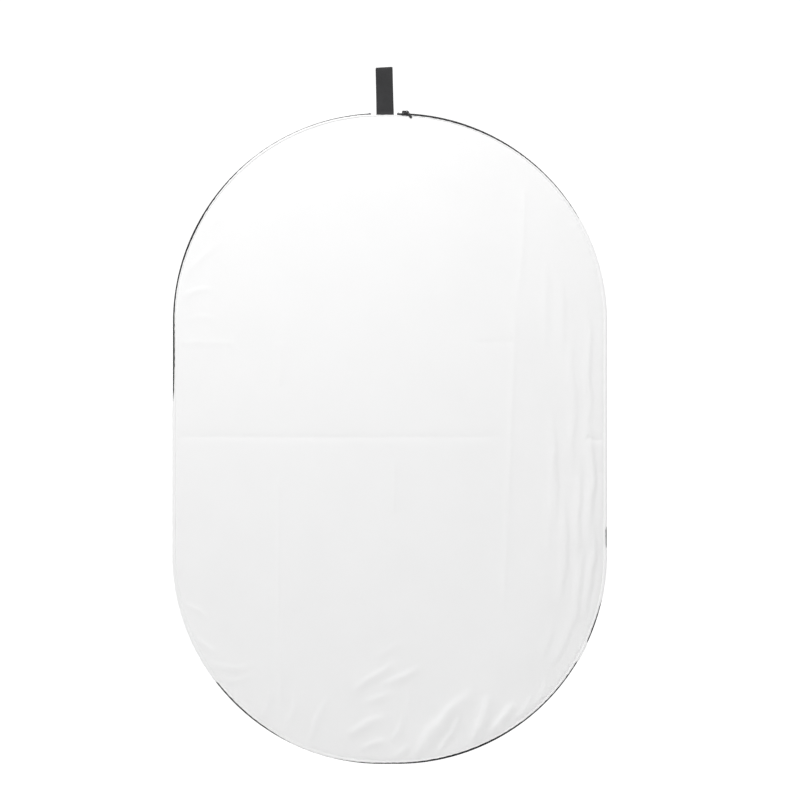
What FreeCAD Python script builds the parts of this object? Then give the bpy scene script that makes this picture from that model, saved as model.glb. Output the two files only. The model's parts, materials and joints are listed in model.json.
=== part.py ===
import FreeCAD, Part
import math
import os
import re

import Sketcher

# Collapsible oval reflector disc: a diffuser panel on a spring-steel hoop, inside a reversible zipped cover.
# X runs across the disc, Z along its length towards the strap, and Y from front to back.
# The origin is the centre of the back face, so the disc lies between y = -rim_depth and y = 0.
# "Inset" is a distance inwards from the disc's overall outline; "level" a distance from its middle plane.

Vector = FreeCAD.Vector

DIMENSIONS = {
    # overall outline: straight sides joined by four equal corner arcs
    "disc_width": 800,
    "disc_height": 1200,
    "corner_radius": 385,
    "rim_depth": 12,
    # cover: two layers of fabric on each side
    "fabric": 0.4,
    "cover_inset": 2.2,
    # zip: two coils with a clear slot between them, each on its own tape
    "coil_rise": 1.6,
    "coil_breadth": 2.2,
    "coil_gap": 2.0,
    "tape_ply": 0.6,
    "tape_margin": 12,
    "slot_left": -34.7,
    "slot_right": 13.3,
    "hem_lip": 0.8,
    "hem_margin": 4.8,
    "hem_ply": 0.5,
    # zip stops
    "stop_length": 3.0,
    "stop_wall": 0.5,
    "stop_setback": 1.2,
    "play": 0.02,
    # hoop, splice sleeve, binding and diffuser
    "band_breadth": 6.0,
    "band_ply": 1.0,
    "band_inset": 7.3,
    "band_end_gap": 2.0,
    "sleeve_length": 28,
    "sleeve_wall": 0.4,
    "binding_inset": 6.3,
    "binding_ply": 0.5,
    "binding_room": 3.5,
    "binding_shoulder": 8.9,
    "binding_pinch": 12.0,
    "binding_margin": 16.0,
    "diffuser_ply": 0.3,
    "diffuser_inset": 9.5,
    # strap: webbing sewn over the hoop, closed at a neck, open as a loop above it
    "strap_width": 32,
    "webbing": 1.0,
    "strap_centre": -8,
    "strap_foot": 555,
    "tail_play": 0.1,
    "strap_top": 686,
    "strap_hinge": 612,
    "hinge_room_below": 2.8,
    "hinge_room_above": 0.5,
    "neck_length": 6,
    "loop_radius": 5.5,
    # zip slider, in its own frame on the rim: X along the zip, Z outwards from the outline
    "slider_place": 30.5,
    "slider_half": 5.5,
    "slider_breadth": 8.6,
    "slider_ply": 1.4,
    "slider_room": 0.3,
    "flange_ply": 0.8,
    "flange_drop": 1.2,
    "post_breadth": 1.4,
    "post_length": 2.4,
    "post_setback": 1.0,
    "corner_round": 0.6,
    "edge_round": 1.2,
    "inner_plate_ply": 1.1,
    "inner_plate_breadth": 6.8,
    "rail_wire": 1.2,
    "rail_rise": 1.8,
    "rail_reach": 7.6,
    "rail_bend": 1.6,
    "rail_foot_setback": 1.5,
    "inner_rail_rise": 1.2,
    # pull: a wire link round the rail, and a flat tab hung on the link
    "link_wire": 1.0,
    "link_radius": 1.35,
    "link_span": 7.4,
    "link_droop": 5,
    "link_place": 1.0,
    "tab_length": 14.1,
    "tab_breadth": 4.8,
    "tab_ply": 0.9,
    "tab_eye": 0.75,
    "tab_eye_wall": 1.0,
    "tab_neck": 4.2,
    "tab_shoulder": 1.2,
    "tab_slant": 39.2,
}

# Derived lengths that several pieces share, written as sheet expressions.
MIDDLE = "rim_depth / 2"
HALF_FLAT = "disc_width / 2 - corner_radius"
HALF_SIDE = "disc_height / 2 - corner_radius"
RIM_TOP = "disc_height / 2"
LINING_LEVEL = "rim_depth / 2 - 2 * fabric"
SLIDER_TOP = "slider_room + slider_ply"
RAIL_AXIS = f"{SLIDER_TOP} + rail_rise + rail_wire / 2"
INNER_PLATE_TOP = "-(cover_inset + slider_room)"
INNER_PLATE_FOOT = f"{INNER_PLATE_TOP} - inner_plate_ply"
INNER_RAIL_AXIS = f"{INNER_PLATE_FOOT} - inner_rail_rise - rail_wire / 2"

doc = FreeCAD.newDocument("reflector_disc")
sheet = doc.addObject("Spreadsheet::Sheet", "dims")
for row, (alias, size) in enumerate(DIMENSIONS.items(), start=1):
    sheet.set(f"A{row}", alias)
    sheet.set(f"B{row}", str(size))
    sheet.setAlias(f"B{row}", alias)
doc.recompute()

bodies = []


# ---- Working with the sheet, sketches and features ----

def bound(text):
    """The expression with each driving dimension read from the sheet."""
    return re.sub(r"[a-z_]+", lambda word: f"dims.{word[0]}" if word[0] in DIMENSIONS else word[0], str(text))


def value(text):
    return float(sheet.evalExpression(bound(text)))


def drive(thing, name, text):
    thing.setExpression(name, bound(text))


def new_body(label):
    body = doc.addObject("PartDesign::Body", label)
    body.Label = label
    bodies.append(body)
    return body


def new_sketch(body, plane, offset):
    """A sketch on one of the body's own origin planes, moved along the plane's normal."""
    sketch = body.newObject("Sketcher::SketchObject", f"{body.Name}_sketch")
    support = next(item for item in body.Origin.OriginFeatures if item.Role == plane)
    sketch.AttachmentSupport = [(support, "")]
    sketch.MapMode = "FlatFace"
    drive(sketch, "AttachmentOffset.Base.z", offset)
    return sketch


def pin_point(sketch, item, end, across, up):
    """Hold one end or the centre of a sketch item at a place given by two expressions."""
    for kind, axis, text in (("DistanceX", -2, across), ("DistanceY", -1, up)):
        if abs(value(text)) < 1e-9:
            sketch.addConstraint(Sketcher.Constraint("PointOnObject", item, end, axis))
        else:
            index = sketch.addConstraint(Sketcher.Constraint(kind, -1, 1, item, end, value(text)))
            drive(sketch, f"Constraints[{index}]", text)


def contour(sketch, items, closed=True):
    """Lines that join corners (across, up) and tangent arcs (across, up, radius, from, to), anticlockwise."""
    arrivals, departures = [], []
    for item in items:
        centre = Vector(value(item[0]), value(item[1]), 0)
        if len(item) == 2:
            arrivals.append((centre, None))
            departures.append((centre, None))
            continue
        circle = Part.Circle(centre, Vector(0, 0, 1), value(item[2]))
        curve = Part.ArcOfCircle(circle, math.radians(item[3]), math.radians(item[4]))
        arc = sketch.addGeometry(curve)
        pin_point(sketch, arc, 3, item[0], item[1])
        index = sketch.addConstraint(Sketcher.Constraint("Radius", arc, value(item[2])))
        drive(sketch, f"Constraints[{index}]", item[2])
        arrivals.append((curve.StartPoint, arc))
        departures.append((curve.EndPoint, arc))
    count = len(items)
    lines = []
    for here in range(count if closed else count - 1):
        there = (here + 1) % count
        line = sketch.addGeometry(Part.LineSegment(departures[here][0], arrivals[there][0]))
        lines.append(line)
        if departures[here][1] is not None:
            sketch.addConstraint(Sketcher.Constraint("Tangent", line, 1, departures[here][1], 2))
        if arrivals[there][1] is not None:
            sketch.addConstraint(Sketcher.Constraint("Tangent", line, 2, arrivals[there][1], 1))
    for here, item in enumerate(items):
        if len(item) > 2:
            continue
        if here == len(lines):
            pin_point(sketch, lines[here - 1], 2, *item)
            continue
        pin_point(sketch, lines[here], 1, *item)
        if closed or here:
            sketch.addConstraint(Sketcher.Constraint("Coincident", lines[here - 1], 2, lines[here], 1))


def oval(sketch, inset):
    """The disc's outline, moved inwards."""
    corners = ((1, -1, 270), (1, 1, 0), (-1, 1, 90), (-1, -1, 180))
    contour(sketch, [
        (f"{across} * ({HALF_FLAT})", f"{up} * ({HALF_SIDE})", f"corner_radius - ({inset})", turn, turn + 90)
        for across, up, turn in corners
    ])


def box_outline(sketch, left, right, low, high):
    contour(sketch, [(left, low), (right, low), (right, high), (left, high)])


def circle_outline(sketch, across, up, radius):
    circle = Part.Circle(Vector(value(across), value(up), 0), Vector(0, 0, 1), value(radius))
    ring = sketch.addGeometry(circle)
    pin_point(sketch, ring, 3, across, up)
    index = sketch.addConstraint(Sketcher.Constraint("Radius", ring, value(radius)))
    drive(sketch, f"Constraints[{index}]", radius)


def pad(body, sketch, length, both_ways=False):
    feature = body.newObject("PartDesign::Pad", f"{body.Name}_pad")
    feature.Profile = sketch
    feature.Midplane = both_ways
    drive(feature, "Length", length)
    doc.recompute()
    return feature


def cut_through(body, sketch):
    """Cut the sketch out of the body, both ways from the sketch's plane."""
    before = body.Shape.Volume
    feature = body.newObject("PartDesign::Pocket", f"{body.Name}_cut")
    feature.Profile = sketch
    feature.Type = "ThroughAll"
    feature.Midplane = True
    doc.recompute()
    if body.Shape.Volume >= before:
        raise RuntimeError(f"{body.Label}: the cut removes nothing")


def sweep(body, profile, path):
    feature = body.newObject("PartDesign::AdditivePipe", f"{body.Name}_sweep")
    feature.Profile = profile
    doc.recompute()
    feature.Spine = (path, [f"Edge{number}" for number in range(1, len(path.Shape.Edges) + 1)])
    doc.recompute()
    return feature


def fillet(body, edges, radius):
    """Round the edges that the test picks out, by their middle point and direction."""
    base = body.Tip
    names = []
    for number, edge in enumerate(base.Shape.Edges, start=1):
        along = edge.tangentAt(edge.FirstParameter)
        if edge.Curve.TypeId == "Part::GeomLine" and edges(edge.CenterOfMass, along):
            names.append(f"Edge{number}")
    feature = body.newObject("PartDesign::Fillet", f"{body.Name}_fillet")
    feature.Base = (base, names)
    drive(feature, "Radius", radius)
    doc.recompute()


# ---- Rings and plates that follow the outline ----

def level_offset(side, near, far):
    """Where a sketch on the XZ plane starts, for a layer between two levels in front (-1) or behind (1)."""
    return f"({MIDDLE}) + ({near})" if side < 0 else f"({MIDDLE}) - ({far})"


def add_ring(body, side, outer, inner, near, far):
    sketch = new_sketch(body, "XZ_Plane", level_offset(side, near, far))
    oval(sketch, outer)
    oval(sketch, inner)
    pad(body, sketch, f"({far}) - ({near})")


def cut_strap_slot(body):
    sketch = new_sketch(body, "XZ_Plane", MIDDLE)
    box_outline(sketch, "slot_left", "slot_right", f"{RIM_TOP} - 2 * tape_margin", f"{RIM_TOP} + tape_margin")
    cut_through(body, sketch)


def cover_panel(label, side, near, far):
    """One fabric layer of the cover, a thin oval plate."""
    body = new_body(label)
    sketch = new_sketch(body, "XZ_Plane", level_offset(side, near, far))
    oval(sketch, "cover_inset")
    pad(body, sketch, f"({far}) - ({near})")


def zip_coil(label, side):
    body = new_body(label)
    add_ring(body, side, "0", "coil_rise", "coil_gap / 2", "coil_gap / 2 + coil_breadth")
    cut_strap_slot(body)


def zip_tape(label, side):
    """An L-section: the band that carries the coil, and the margin sewn to the cover's lining."""
    body = new_body(label)
    add_ring(body, side, "coil_rise", "cover_inset", "coil_gap / 2", LINING_LEVEL)
    add_ring(body, side, "cover_inset", "tape_margin", f"{LINING_LEVEL} - tape_ply", LINING_LEVEL)
    cut_strap_slot(body)


def slot_hem(label, side):
    """The folded hem that edges the cover along the strap's slot, with a lip over the fabric's edge."""
    body = new_body(label)
    near = f"{LINING_LEVEL} - hem_ply"
    top = RIM_TOP
    for low, high, far in (
        (f"{top} - hem_margin", f"{top} - cover_inset", LINING_LEVEL),
        (f"{top} - cover_inset", f"{top} - cover_inset + hem_lip", MIDDLE),
    ):
        sketch = new_sketch(body, "XZ_Plane", level_offset(side, near, far))
        drop_low = f"corner_radius - ({top} - ({low}))"
        drop_high = f"corner_radius - ({top} - ({high}))"
        arc_edge(sketch, drop_low, drop_high)
        pad(body, sketch, f"({far}) - ({near})")


def arc_edge(sketch, inner_radius, outer_radius):
    """A strip of rim along the strap's slot: the last part of the left corner arc, then the top flat."""
    centre = Vector(-value(HALF_FLAT), value(HALF_SIDE), 0)
    left = value("slot_left")
    far_ends = []
    near_ends = []
    for text in (inner_radius, outer_radius):
        radius = value(text)
        circle = Part.Circle(centre, Vector(0, 0, 1), radius)
        arc = sketch.addGeometry(Part.ArcOfCircle(circle, math.pi / 2, math.acos((left - centre.x) / radius)))
        pin_point(sketch, arc, 3, f"-({HALF_FLAT})", HALF_SIDE)
        size = sketch.addConstraint(Sketcher.Constraint("Radius", arc, radius))
        drive(sketch, f"Constraints[{size}]", text)
        top = centre.y + radius
        right_end = Vector(value("slot_right"), top, 0)
        flat = sketch.addGeometry(Part.LineSegment(Vector(centre.x, top, 0), right_end))
        sketch.addConstraint(Sketcher.Constraint("Tangent", flat, 1, arc, 1))
        for item, name in ((arc, "slot_left"), (flat, "slot_right")):
            place = sketch.addConstraint(Sketcher.Constraint("DistanceX", -1, 1, item, 2, value(name)))
            drive(sketch, f"Constraints[{place}]", name)
        far_ends.append(arc)
        near_ends.append(flat)
    for first, second in (far_ends, near_ends):
        closing = sketch.addGeometry(Part.LineSegment(sketch.getPoint(first, 2), sketch.getPoint(second, 2)))
        sketch.addConstraint(Sketcher.Constraint("Coincident", closing, 1, first, 2))
        sketch.addConstraint(Sketcher.Constraint("Coincident", closing, 2, second, 2))


def spring_steel_hoop():
    """A flat band bent to the outline, its two ends facing each other at the bottom."""
    body = new_body("spring_steel_hoop")
    sketch = new_sketch(body, "XZ_Plane", f"({MIDDLE}) - band_breadth / 2")
    oval(sketch, "band_inset")
    oval(sketch, "band_inset + band_ply")
    pad(body, sketch, "band_breadth")
    gap = new_sketch(body, "XZ_Plane", MIDDLE)
    foot = f"-({RIM_TOP})"
    box_outline(gap, "-band_end_gap / 2", "band_end_gap / 2", foot, f"{foot} + 2 * band_inset")
    cut_through(body, gap)


def hoop_splice_sleeve():
    """A flat steel tube pressed over both ends of the band."""
    body = new_body("hoop_splice_sleeve")
    sketch = new_sketch(body, "YZ_Plane", "0")
    axis = f"-({RIM_TOP}) + band_inset + band_ply / 2"
    for half_breadth, half_ply in (
        ("band_breadth / 2 + sleeve_wall", "band_ply / 2 + sleeve_wall"),
        ("band_breadth / 2", "band_ply / 2"),
    ):
        box_outline(
            sketch,
            f"-({MIDDLE}) - ({half_breadth})",
            f"-({MIDDLE}) + ({half_breadth})",
            f"({axis}) - ({half_ply})",
            f"({axis}) + ({half_ply})",
        )
    pad(body, sketch, "sleeve_length", both_ways=True)


def frame_binding():
    """Tape folded over the hoop and pinched together on the edge of the diffuser."""
    body = new_body("frame_binding")
    path = new_sketch(body, "XZ_Plane", MIDDLE)
    oval(path, "binding_inset")
    profile = new_sketch(body, "YZ_Plane", "0")
    room = "binding_room"
    ply = "binding_ply"
    web = "diffuser_ply / 2"
    half = [
        (f"{room} + {ply}", "binding_inset"),
        (f"{room} + {ply}", "binding_shoulder"),
        (f"{web} + {ply}", "binding_pinch"),
        (f"{web} + {ply}", "binding_margin"),
        (web, "binding_margin"),
        (web, "binding_pinch"),
        (room, f"binding_shoulder - {ply} / 4"),
        (room, f"binding_inset + {ply}"),
    ]
    front = [(f"-({MIDDLE}) - ({level})", f"{RIM_TOP} - ({inset})") for level, inset in half]
    back = [(f"-({MIDDLE}) + ({level})", f"{RIM_TOP} - ({inset})") for level, inset in reversed(half)]
    contour(profile, front + back)
    doc.recompute()
    sweep(body, profile, path)


def diffuser_panel():
    body = new_body("diffuser_panel")
    sketch = new_sketch(body, "XZ_Plane", f"({MIDDLE}) - diffuser_ply / 2")
    oval(sketch, "diffuser_inset")
    pad(body, sketch, "diffuser_ply")


# ---- Strap ----

def strap_tails():
    """Both webbing tails, sewn to the diffuser, passing round the binding and meeting in the neck."""
    body = new_body("strap_tails")
    sketch = new_sketch(body, "YZ_Plane", "strap_centre")
    top = RIM_TOP
    shoulder = "binding_room + binding_ply + tail_play"
    pinch = "diffuser_ply / 2 + binding_ply + tail_play"
    web = "diffuser_ply / 2 + tail_play"
    inner = [
        (web, "strap_foot"),
        (web, f"{top} - binding_margin - 3 * webbing"),
        (pinch, f"{top} - binding_margin - webbing / 2"),
        (pinch, f"{top} - binding_pinch - 3 * tail_play"),
        (shoulder, f"{top} - binding_shoulder - tail_play"),
        (shoulder, f"{top} - binding_inset + 3 * tail_play"),
    ]
    crotch = [(f"-({MIDDLE})", f"{top} - webbing / 2")]
    outer = [(f"{level} + webbing", height) for level, height in inner]
    neck = [("webbing", f"{top} + webbing"), ("webbing", "strap_hinge - hinge_room_below")]
    front_outer = [(f"-({MIDDLE}) - ({level})", height) for level, height in outer + neck]
    back_outer = [(f"-({MIDDLE}) + ({level})", height) for level, height in reversed(outer + neck)]
    back_inner = [(f"-({MIDDLE}) + ({level})", height) for level, height in inner]
    front_inner = [(f"-({MIDDLE}) - ({level})", height) for level, height in reversed(inner)]
    contour(sketch, front_outer + back_outer + back_inner + crotch + front_inner)
    pad(body, sketch, "strap_width", both_ways=True)


def strap_loop():
    """The free loop of webbing above the neck, teardrop-shaped, open across the strap's width."""
    body = new_body("strap_loop")
    sketch = new_sketch(body, "YZ_Plane", "strap_centre")
    foot = "strap_hinge + hinge_room_above"
    crown = "strap_top - loop_radius - webbing / 2"
    middle = f"-({MIDDLE})"
    contour(sketch, [
        (f"{middle} - webbing", foot),
        (f"{middle} + webbing", foot),
        (f"{middle} + webbing", f"{foot} + neck_length"),
        (middle, crown, "loop_radius + webbing / 2", 0, 180),
        (f"{middle} - webbing", f"{foot} + neck_length"),
    ])
    contour(sketch, [
        (middle, f"{foot} + 2 * neck_length"),
        (middle, crown, "loop_radius - webbing / 2", 0, 180),
    ])
    pad(body, sketch, "strap_width", both_ways=True)


# ---- Zip stops ----

def rim_placement(place_x):
    """The frame on the outline at a given x: X along the rim, Z outwards, Y from front to back."""
    side = math.copysign(1, place_x)
    offset = max(abs(place_x) - value(HALF_FLAT), 0)
    angle = math.asin(offset / value("corner_radius"))
    centre_x = side * min(value(HALF_FLAT), abs(place_x))
    radius = value("corner_radius")
    spot = Vector(centre_x + side * radius * math.sin(angle), -value(MIDDLE),
                  value(HALF_SIDE) + radius * math.cos(angle))
    return FreeCAD.Placement(spot, FreeCAD.Rotation(Vector(0, 1, 0), side * math.degrees(angle)))


def zip_stop(label, near, far, place):
    """A metal clip bent over a coil, or over both, between two levels."""
    body = new_body(label)
    sketch = new_sketch(body, "YZ_Plane", "0")
    low = "-coil_rise + play"
    contour(sketch, [
        (near, low),
        (f"{near} + stop_wall", low),
        (f"{near} + stop_wall", "play"),
        (f"{far} - stop_wall", "play"),
        (f"{far} - stop_wall", low),
        (far, low),
        (far, "stop_wall"),
        (near, "stop_wall"),
    ])
    pad(body, sketch, "stop_length", both_ways=True)
    body.Placement = rim_placement(value(place))


# ---- Zip slider and pull ----

def slider_body():
    """Outer plate with its side flanges, the post through the slot, and the inner plate."""
    body = new_body("slider_body")
    half = "slider_half"
    breadth = "slider_breadth / 2"

    plate = new_sketch(body, "XY_Plane", "slider_room")
    box_outline(plate, f"-{half}", half, f"-{breadth}", breadth)
    pad(body, plate, "slider_ply")

    flanges = new_sketch(body, "XY_Plane", "-flange_drop")
    box_outline(flanges, f"-{half}", half, f"-{breadth}", f"-{breadth} + flange_ply")
    box_outline(flanges, f"-{half}", half, f"{breadth} - flange_ply", breadth)
    pad(body, flanges, "flange_drop + slider_room")

    post = new_sketch(body, "XY_Plane", INNER_PLATE_TOP)
    nose = f"-{half} + post_setback"
    box_outline(post, nose, f"{nose} + post_length", "-post_breadth / 2", "post_breadth / 2")
    pad(body, post, f"slider_room - ({INNER_PLATE_TOP})")

    inner = new_sketch(body, "XY_Plane", INNER_PLATE_FOOT)
    breadth_in = "inner_plate_breadth / 2"
    box_outline(inner, f"-{half}", half, f"-{breadth_in}", breadth_in)
    pad(body, inner, "inner_plate_ply")

    outside = value(breadth) - 0.01
    top = value(SLIDER_TOP) - 0.01
    fillet(body, lambda middle, along: abs(along.z) > 0.9 and abs(middle.y) > outside, "corner_round")
    fillet(body, lambda middle, along: abs(along.x) > 0.9 and middle.z > top, "edge_round")
    body.Placement = rim_placement(value("slider_place"))


def slider_rail():
    """The wire rail round the slider's nose that lets the pull serve either side."""
    body = new_body("slider_rail")
    foot = "slider_half - rail_foot_setback"
    bend = "rail_bend"
    high = RAIL_AXIS
    low = INNER_RAIL_AXIS
    path = new_sketch(body, "XZ_Plane", "0")
    contour(path, [
        (foot, SLIDER_TOP),
        (f"{foot} - {bend}", f"{high} - {bend}", bend, 0, 90),
        (f"-rail_reach + {bend}", f"{high} - {bend}", bend, 90, 180),
        (f"-rail_reach + {bend}", f"{low} + {bend}", bend, 180, 270),
        (f"{foot} - {bend}", f"{low} + {bend}", bend, 270, 360),
        (foot, INNER_PLATE_FOOT),
    ], closed=False)
    profile = new_sketch(body, "XY_Plane", SLIDER_TOP)
    circle_outline(profile, foot, "0", "rail_wire / 2")
    doc.recompute()
    sweep(body, profile, path)
    body.Placement = rim_placement(value("slider_place"))


def pull_frame():
    """The link's own frame: origin on the rail's axis, X along the zip, Z towards the rail from the tab."""
    droop = FreeCAD.Rotation(Vector(1, 0, 0), -(90 - value("link_droop")))
    spot = Vector(value("link_place"), 0, value(RAIL_AXIS))
    return rim_placement(value("slider_place")) * FreeCAD.Placement(spot, droop)


def pull_link():
    """A closed wire link: one end round the rail, the other through the tab's eye."""
    body = new_body("pull_link")
    path = new_sketch(body, "YZ_Plane", "0")
    contour(path, [
        ("0", "0", "link_radius", 0, 180),
        ("0", "-link_span", "link_radius", 180, 360),
    ])
    profile = new_sketch(body, "XY_Plane", "-link_span / 2")
    circle_outline(profile, "0", "link_radius", "link_wire / 2")
    doc.recompute()
    sweep(body, profile, path)
    body.Placement = pull_frame()


def pull_tab():
    """A flat tab with an eye, hanging from the lowest point of the link's end."""
    body = new_body("pull_tab")
    plate = new_sketch(body, "XZ_Plane", "-tab_ply / 2")
    eye_radius = "tab_eye + tab_eye_wall"
    end_radius = "tab_breadth / 2"
    contour(plate, [
        ("0", "0", eye_radius, 0, 180),
        (f"-{end_radius} + tab_shoulder", "-tab_neck", "tab_shoulder", 170, 180),
        ("0", f"-tab_length + {end_radius}", end_radius, 180, 360),
        (f"{end_radius} - tab_shoulder", "-tab_neck", "tab_shoulder", 0, 10),
    ])
    pad(body, plate, "tab_ply")
    eye = new_sketch(body, "XZ_Plane", "0")
    circle_outline(eye, "0", "0", "tab_eye")
    cut_through(body, eye)
    link_end = pull_frame().multVec(Vector(0, 0, -value("link_span")))
    rim = rim_placement(value("slider_place"))
    hang = link_end - rim.Rotation.multVec(Vector(0, 0, value("link_radius")))
    slant = FreeCAD.Rotation(Vector(0, 1, 0), -value("tab_slant"))
    body.Placement = FreeCAD.Placement(hang, rim.Rotation * slant)


# ---- The whole disc ----

cover_panel("cover_front_face", -1, "rim_depth / 2 - fabric", MIDDLE)
cover_panel("cover_front_lining", -1, LINING_LEVEL, "rim_depth / 2 - fabric")
cover_panel("cover_back_lining", 1, LINING_LEVEL, "rim_depth / 2 - fabric")
cover_panel("cover_back_face", 1, "rim_depth / 2 - fabric", MIDDLE)
for label, side in (("front", -1), ("back", 1)):
    zip_tape(f"zip_tape_{label}", side)
    zip_coil(f"zip_coil_{label}", side)
    slot_hem(f"slot_hem_{label}", side)
spring_steel_hoop()
hoop_splice_sleeve()
frame_binding()
diffuser_panel()
strap_tails()
strap_loop()

coil_near = "coil_gap / 2 - stop_wall - play"
coil_far = "coil_gap / 2 + coil_breadth + stop_wall + play"
first_stop = "slot_right + stop_setback + stop_length / 2"
zip_stop("zip_top_stop_front", f"-({coil_far})", f"-({coil_near})", first_stop)
zip_stop("zip_top_stop_back", coil_near, coil_far, first_stop)
zip_stop("zip_bottom_stop", f"-({coil_far})", coil_far, "slot_left - stop_setback - stop_length / 2")

slider_body()
slider_rail()
pull_link()
pull_tab()
doc.recompute()

for item in doc.Objects:
    if "Invalid" in item.State or "Error" in item.State:
        raise RuntimeError(f"{item.Label} has failed: {item.State}")
for body in bodies:
    if body.Shape.isNull() or not body.Shape.isValid():
        raise RuntimeError(f"{body.Label} has no valid shape")

os.makedirs("parts", exist_ok=True)
for body in bodies:
    body.Shape.exportStep(os.path.join("parts", f"{body.Label}.step"))
    print(f"{body.Label}: {body.Shape.Volume:.1f} mm3, {body.Shape.BoundBox}")
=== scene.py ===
import json
import math

import bpy
import numpy as np
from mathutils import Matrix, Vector


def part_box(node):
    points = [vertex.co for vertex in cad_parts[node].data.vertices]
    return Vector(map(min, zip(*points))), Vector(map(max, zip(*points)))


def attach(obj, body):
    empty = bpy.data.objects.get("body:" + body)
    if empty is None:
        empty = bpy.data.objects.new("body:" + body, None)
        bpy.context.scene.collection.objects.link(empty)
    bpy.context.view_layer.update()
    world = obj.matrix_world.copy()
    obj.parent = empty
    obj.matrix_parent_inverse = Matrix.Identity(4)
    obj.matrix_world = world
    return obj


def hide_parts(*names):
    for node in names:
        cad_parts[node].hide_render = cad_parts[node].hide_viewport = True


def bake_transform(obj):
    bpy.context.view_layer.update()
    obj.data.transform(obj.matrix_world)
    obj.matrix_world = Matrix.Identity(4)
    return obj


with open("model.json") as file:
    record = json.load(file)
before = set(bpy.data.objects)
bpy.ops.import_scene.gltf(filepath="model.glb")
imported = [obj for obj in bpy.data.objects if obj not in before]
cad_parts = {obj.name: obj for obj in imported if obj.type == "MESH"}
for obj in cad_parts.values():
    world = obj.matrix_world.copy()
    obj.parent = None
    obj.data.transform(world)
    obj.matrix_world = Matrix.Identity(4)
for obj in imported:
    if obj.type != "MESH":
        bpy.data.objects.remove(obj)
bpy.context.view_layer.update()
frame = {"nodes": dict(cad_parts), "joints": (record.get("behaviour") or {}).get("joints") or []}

# A collapsible oval reflector disc, in metres: X across, Z along its length, Y from front to back.
# "Inset" is a distance inwards from the disc's outline, "level" a distance out of its middle plane, and
# "along" a distance round the rim, clockwise from the top centre as seen from the front.

MM = 0.001

# ---- Sizes read from the frame ----

joints = {joint["name"]: joint for joint in frame["joints"]}
HALF_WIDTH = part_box("zip_coil_front")[1].x
HALF_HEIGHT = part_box("zip_coil_front")[1].z
CORE_X, MIDDLE_Y, CORE_Z = joints["slider_travel"]["pos_m"]
RADIUS = HALF_WIDTH - CORE_X
RIM_LENGTH = 2 * math.pi * RADIUS + 4 * (CORE_X + CORE_Z)
HALF_DEPTH = MIDDLE_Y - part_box("cover_front_face")[0].y
SLOT_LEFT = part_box("slot_hem_front")[0].x
SLOT_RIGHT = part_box("slot_hem_front")[1].x
ZIP_START = SLOT_RIGHT
ZIP_END = RIM_LENGTH + SLOT_LEFT
SEAM_INSET = 6.4 * MM
SEAM_DIP = 0.75 * MM
SEAM_DIP_WIDTH = 1.8 * MM
STITCH_PITCH = RIM_LENGTH / 1060
STITCH_LENGTH = 0.62 * STITCH_PITCH
THREAD_RADIUS = 0.17 * MM
FRONT, BACK = -1, 1


# ---- The rim as a line ----

def quarter_turn(along):
    """Signs of x and z, and the distance from the nearer of the top and bottom centres."""
    along = np.mod(along, RIM_LENGTH)
    right = np.where(along < RIM_LENGTH / 2, 1.0, -1.0)
    half = np.minimum(along, RIM_LENGTH - along)
    upper = np.where(half < RIM_LENGTH / 4, 1.0, -1.0)
    return right, upper, np.minimum(half, RIM_LENGTH / 2 - half)


def rim_normal(along):
    """x and z of the outward direction at a distance round the rim."""
    right, upper, reach = quarter_turn(along)
    angle = np.clip((reach - CORE_X) / RADIUS, 0, math.pi / 2)
    return right * np.sin(angle), upper * np.cos(angle)


def rim(along, inset):
    """x and z of the outline at a distance round it, moved inwards."""
    right, upper, reach = quarter_turn(along)
    angle = np.clip((reach - CORE_X) / RADIUS, 0, math.pi / 2)
    down = np.maximum(reach - CORE_X - RADIUS * math.pi / 2, 0)
    across = np.minimum(reach, CORE_X) + (RADIUS - inset) * np.sin(angle)
    up = CORE_Z + (RADIUS - inset) * np.cos(angle) - down
    return right * across, upper * up


def rim_coordinates(x, z):
    """Distance round the rim and inset of any point of the disc."""
    over_x = np.maximum(np.abs(x) - CORE_X, 0)
    over_z = np.maximum(np.abs(z) - CORE_Z, 0)
    deepest = np.minimum(np.maximum(np.abs(x) - CORE_X, np.abs(z) - CORE_Z), 0)
    inset = RADIUS - np.hypot(over_x, over_z) - deepest
    reach = np.minimum(np.abs(x), CORE_X) + RADIUS * np.arctan2(over_x, over_z)
    reach = reach + np.maximum(CORE_Z - np.abs(z), 0)
    half = np.where(z >= 0, reach, RIM_LENGTH / 2 - reach)
    return np.where(x >= 0, half, RIM_LENGTH - half), inset


# ---- Meshes ----

def grid_mesh(name, points, wrap_rows=False, wrap_columns=False, cloth=None, flip=False):
    """A smooth mesh through a grid of points [row, column], with cloth coordinates in metres as its UVs."""
    rows, columns = points.shape[:2]
    if cloth is None:
        cloth = points[:, :, [0, 2]]
    index = np.arange(rows * columns).reshape(rows, columns)
    if wrap_rows:
        index = np.vstack([index, index[:1]])
        cloth = np.concatenate([cloth, 2 * cloth[-1:] - cloth[-2:-1]])
    if wrap_columns:
        index = np.hstack([index, index[:, :1]])
        cloth = np.concatenate([cloth, 2 * cloth[:, -1:] - cloth[:, -2:-1]], axis=1)
    order = slice(None, None, -1 if flip else 1)
    quads = corners_of(index)[:, order]
    return mesh_piece(name, points.reshape(-1, 3), quads, corners_of(cloth)[:, order].reshape(-1, 2))


def corners_of(net):
    """The four corners of each cell of a grid, going round."""
    cells = np.stack([net[:-1, :-1], net[1:, :-1], net[1:, 1:], net[:-1, 1:]], axis=2)
    return cells.reshape(-1, 4, *net.shape[2:])


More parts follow.
